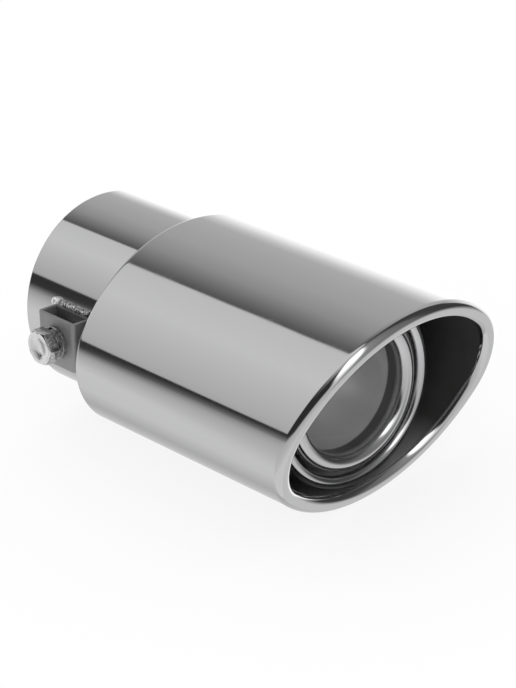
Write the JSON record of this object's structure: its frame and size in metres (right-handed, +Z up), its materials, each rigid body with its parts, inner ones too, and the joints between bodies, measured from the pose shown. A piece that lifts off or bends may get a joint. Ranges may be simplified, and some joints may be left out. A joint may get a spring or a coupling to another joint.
{
  "type": "exhaust tip",
  "caption": "Oval slash-cut exhaust tip with a rolled lip, nested curled inner pipes, a round inlet sleeve and a welded set-bolt bracket.",
  "frame": {"origin": "centre of the inlet rim, on the pipe axis", "axes": "+Y along the pipe axis out of the inlet, so the mouth is at -Y; +Z up, to the longest side of the slanted mouth; the oval is widest along X and the bracket is on the -X side"},
  "size_m": [0.0896, 0.1414, 0.0648],
  "materials": {
    "polished_stainless": "mirror polished stainless sheet",
    "plain_stainless": "plain cold-rolled stainless strip",
    "weld_metal": "rough bright weld bead",
    "zinc_plated_steel": "bright zinc plated fasteners"
  },
  "bodies": {
    "root": {"outer_shell": "polished_stainless", "inlet_sleeve": "polished_stainless", "middle_pipe": "polished_stainless", "inner_pipe": "polished_stainless", "clamp_bracket": "plain_stainless", "weld_bead_upper": "weld_metal", "weld_bead_lower": "weld_metal", "clamp_bolt": "zinc_plated_steel", "flat_washer": "zinc_plated_steel", "spring_washer": "zinc_plated_steel", "clamp_nut": "zinc_plated_steel"}
  },
  "joints": []
}
